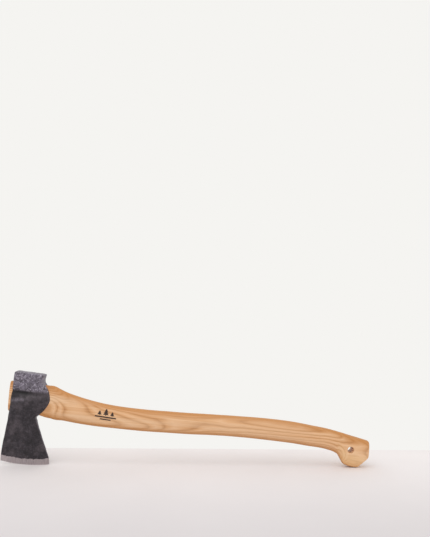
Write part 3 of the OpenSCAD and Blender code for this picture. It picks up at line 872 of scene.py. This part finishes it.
TOE_REACH, HEEL_REACH, WAIST_REACH, LUG_HALF, LUG_REACH = 48, 56.5, 20.8, 33, 18
TOE_DROP, HEEL_DROP = HEAD_HEIGHT - edge_rise(-TOE_REACH), HEAD_HEIGHT - edge_rise(HEEL_REACH)
FRONT_EDGE = [
    [0, -POLL_HALF], [EYE_DROP + LUG_HALF, -mix(POLL_HALF, TOE_REACH, 0.38)], [TOE_DROP, -TOE_REACH],
    [HEAD_HEIGHT, -TOE_REACH],
]
REAR_EDGE = [
    [0, POLL_HALF], [EYE_DROP - LUG_HALF, POLL_HALF],
    [EYE_DROP - 0.67 * LUG_HALF, POLL_HALF + 0.55 * LUG_REACH],
    [EYE_DROP - 0.33 * LUG_HALF, POLL_HALF + 0.88 * LUG_REACH],
    [EYE_DROP, POLL_HALF + LUG_REACH],
    [EYE_DROP + 0.33 * LUG_HALF, POLL_HALF + 0.87 * LUG_REACH],
    [EYE_DROP + 0.67 * LUG_HALF, POLL_HALF + 0.51 * LUG_REACH],
    [EYE_DROP + LUG_HALF, mix(POLL_HALF, WAIST_REACH, 0.2)], [WAIST_DROP, WAIST_REACH],
    [mix(WAIST_DROP, HEEL_DROP, 0.1), mix(WAIST_REACH, HEEL_REACH, 0.06)],
    [mix(WAIST_DROP, HEEL_DROP, 0.36), mix(WAIST_REACH, HEEL_REACH, 0.33)],
    [mix(WAIST_DROP, HEEL_DROP, 0.75), mix(WAIST_REACH, HEEL_REACH, 0.77)],
    [HEEL_DROP, HEEL_REACH], [HEAD_HEIGHT, HEEL_REACH],
]
EYE_HALF, BEVEL_HALF, EDGE_HALF = 15.2, 2.3, 0.2
CHEEK_RUN = BEVEL_TOP - EYE_DROP - LUG_HALF
HEAD_HALF = [
    [0, 15], [EYE_DROP - LUG_HALF, 15.4], [EYE_DROP - 14, EYE_HALF - 0.9], [EYE_DROP, EYE_HALF],
    [EYE_DROP + LUG_HALF, mix(EYE_HALF, BEVEL_HALF, 0.18)],
    [EYE_DROP + LUG_HALF + 0.3 * CHEEK_RUN, mix(EYE_HALF, BEVEL_HALF, 0.49)],
    [EYE_DROP + LUG_HALF + 0.65 * CHEEK_RUN, mix(EYE_HALF, BEVEL_HALF, 0.78)],
    [BEVEL_TOP, BEVEL_HALF],
]
HEAD_POWER = [[0, 9], [EYE_DROP, 5.5], [WAIST_DROP, 4], [HEAD_HEIGHT, 4]]
POLL_ROUND = 2.5
EYE_GAP = 0.15


def head_ring(drop, scale=1.0):
    inset = round_over(POLL_ROUND, drop)
    front, rear = curve(FRONT_EDGE, drop) + inset, curve(REAR_EDGE, drop) - inset
    if drop < BEVEL_TOP:
        half = curve(HEAD_HALF, drop)
    else:
        half = mix(BEVEL_HALF, EDGE_HALF, (drop - BEVEL_TOP) / (HEAD_HEIGHT - BEVEL_TOP))
    t = min(1, max(0, (drop - WAIST_DROP) / (BEVEL_TOP - WAIST_DROP)))
    forged = 1 if drop < BEVEL_TOP - 6 else max(0, (BEVEL_TOP - drop) / 6)
    return (
        ((front + rear) / 2, 0, EYE_DROP - drop), (rear - front) / 2 * scale, (half - inset) * scale,
        curve(HEAD_POWER, drop), t * t * (3 - 2 * t), HEAD_HEIGHT - drop, forged,
    )


def bump(value, middle, spread):
    return exp(-(((value - middle) / spread) ** 2))


def make_head(finish):
    rings = [head_ring(0, scale) for scale in (0.02, 0.2, 0.4, 0.6, 0.8)]
    rings += [head_ring(POLL_ROUND * (t / 7) ** 2) for t in range(8)]
    rings += [head_ring(mix(POLL_ROUND, BEVEL_TOP, t / 165)) for t in range(1, 166)]
    rings += [head_ring(mix(BEVEL_TOP, HEAD_HEIGHT, t / 12)) for t in range(1, 13)]
    head = swept("forged_head", rings, {
        "Points Around": 288, "Crowding": 0.5, "Long Way": (1.0, 0.0, 0.0),
        "Lump Size": 0.016, "Lump Depth": 0.0012, "Pit Size": 0.0032, "Pit Depth": 0.0004,
        "Seed": 11.0, "Finish": finish,
    })
    # Hammer work on the cheeks: a hollow under the poll, the swell of the eye, the lug drawn back.
    for name in ("hollow_shade", "painted_highlight"):
        head.data.attributes.new(name, "FLOAT", "POINT")
    hollow_shade, painted_highlight = head.data.attributes["hollow_shade"], head.data.attributes["painted_highlight"]
    for vertex in head.data.vertices:
        x, y, z = vertex.co / MM
        side = 1 if y > 0 else -1
        level = 1 - max(0, EYE_DROP - z) / (EYE_DROP - LUG_HALF)
        vertex.co.z -= tan(POLL_SLOPE) * (x + POLL_HALF) * max(0, level) * MM
        on_cheek = min(1, max(0, (abs(y) - 3) / 6))
        hollow = -3.2 * bump(z, 10.5 - 0.07 * x, 5) * bump(x, -6, 28)
        swell = 1.1 * bump(z, -3, 5) * bump(x, -10, 26)
        dent = -0.9 * bump(x, -19, 7) * bump(z, 9, 6)
        lug = -1.3 * bump(x, 42, 12) * bump(z, 2, 26)
        vertex.co.y += side * on_cheek * (hollow + swell + dent + lug) * MM
        # Painted shade for the hollow under the poll.
        hollow_shade.data[vertex.index].value = 0.96 * bump(z, 9.5 - 0.05 * x, 4.4) * bump(x, -10, 27)
        # Painted highlights along the poll's lower rim and the crest of the eye's swell.
        rim = 0.8 * bump(z, 16 - 0.04 * x, 1.5) * bump(x, 0, 16)
        crest = 0.55 * bump(z, -3 + 0.1 * x, 3.6) * bump(x, -20, 22)
        painted_highlight.data[vertex.index].value = max(rim, crest)
    # The eye, cut with a little room all round the tenon.
    eye = []
    for x in [TENON_END - 12] + [mix(TENON_END, SHOULDER, t / 12) for t in range(13)] + [SHOULDER + 12]:
        inside = max(TENON_END, min(SHOULDER, x))
        back, half = curve(HAFT_BACK, inside), curve(HAFT_HALF, inside)
        belly = back - curve(HAFT_DEPTH, inside)
        row = []
        for k in range(96):
            c, s = cos(2 * pi * k / 96), sin(2 * pi * k / 96)
            reach = (abs(c) ** 3 + abs(s) ** 3) ** (-1 / 3)
            tall = (back - belly) / 2 + EYE_GAP
            row.append((x, (half + EYE_GAP) * s * reach, (back + belly) / 2 + tall * c * reach))
        eye.append(row)
    cut_with(head, solid_of_rows("eye", eye))
    return finish_mesh(head, 38)


# ---------------------------------------------------------------- wedges


def make_wooden_wedge(finish):
    """Fills the kerf from side to side; its driven end stands 0.4 mm proud of the sawn tenon."""
    rows = []
    for x, half, up in (
        (TENON_END - 0.4, 2.6, 31.0), (TENON_END - 0.3, 2.85, 31.3), (TENON_END + 0.1, 2.95, 31.5),
        (TENON_END + 12, 2.4, 31.7), (TENON_END + 25, 1.75, 31.9), (TENON_END + 38, 1.12, 32.0),
        (TENON_END + 49, 0.6, 31.9),
        (TENON_END + 49.8, 0.35, 31.6),
    ):
        row = []
        for k in range(48):
            c, s = cos(2 * pi * k / 48), sin(2 * pi * k / 48)
            reach = (abs(c) ** 14 + abs(s) ** 14) ** (-1 / 14)
            row.append((x + 0.12 * sin(7.0 * c * reach + 3 * s), half * s * reach, up * c * reach))
        rows.append(row)
    wedge = solid_of_rows("wooden_wedge_in_kerf", rows)
    wedge.data.materials.append(finish)
    return finish_mesh(wedge, 50)


def make_ring_wedge(finish):
    """Steel tube, 14 mm across, driven over the wooden wedge; its rim is rounded and hammered flat."""
    outer, inner, front, back = 7.0, 5.2, TENON_END - 0.45, TENON_END + 14
    profile = [
        (front + 0.5, outer), (front + 0.16, outer - 0.16), (front, outer - 0.5), (front, inner + 0.45),
        (front + 0.16, inner + 0.14),
        (front + 0.5, inner), (TENON_END + 7, inner), (back - 0.2, outer - 0.75), (back, outer - 0.45),
        (back - 0.2, outer - 0.1), (TENON_END + 7, outer),
    ]
    rows = [
        [(x, r * cos(2 * pi * k / 64), r * sin(2 * pi * k / 64)) for x, r in profile]
        for k in range(64)
    ]
    ring = solid_of_rows("steel_ring_wedge", rows, close_rows=True)
    ring.data.materials.append(finish)
    return finish_mesh(ring, 40)


# ---------------------------------------------------------------- assembly

haft = make_haft(oiled_ash())
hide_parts("haft")

mark = make_burnt_mark(scorched_ash(), haft)

head = make_head(black_forged_steel())
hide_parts("axe_head")

wedge = make_wooden_wedge(split_wedge_wood())
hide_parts("wooden_wedge")

ring = make_ring_wedge(turned_ring_steel())
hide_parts("ring_wedge")

# ---------------------------------------------------------------- floor, light and camera

floor_mesh = bpy.data.meshes.new("floor")
floor_mesh.from_pydata([(-2.6, -2.6, 0), (2.6, -2.6, 0), (2.6, 0.15, 0), (-2.6, 0.15, 0)], [], [(0, 1, 2, 3)])
floor_mesh.materials.append(pale_board())
floor = link_new("floor", floor_mesh)

world = bpy.data.worlds.new("studio")
world.use_nodes = True
world.node_tree.nodes["Background"].inputs["Color"].default_value = linear("#f5f4f1")
world.node_tree.nodes["Background"].inputs["Strength"].default_value = 1.0
bpy.context.scene.world = world
bpy.context.scene.view_settings.view_transform = "Standard"

softbox = bpy.data.lights.new("softbox", "AREA")
softbox.shape = "RECTANGLE"
softbox.size, softbox.size_y = 2.0, 2.0
softbox.energy = 13
softbox_at = link_new("softbox", softbox)
softbox_at.location = (-0.3, -1.1, 1.9)
softbox_at.rotation_euler = (Vector((0, 0, 0.1)) - softbox_at.location).to_track_quat("-Z", "Y").to_euler()
softbox_at.visible_camera = False

camera = bpy.data.cameras.new("camera")
camera.sensor_width = 36
camera.lens = 37.07
camera.shift_x, camera.shift_y = 0.0279, 0.0866
camera.dof.use_dof = False
camera_at = link_new("camera", camera)
camera_at.matrix_world = (
    Matrix.Translation((0.032, -1.1809, 0.32216))
    @ Matrix.Rotation(radians(-0.35), 4, "Y")
    @ Matrix.Rotation(pi / 2, 4, "X")
)
bpy.context.scene.camera = camera_at
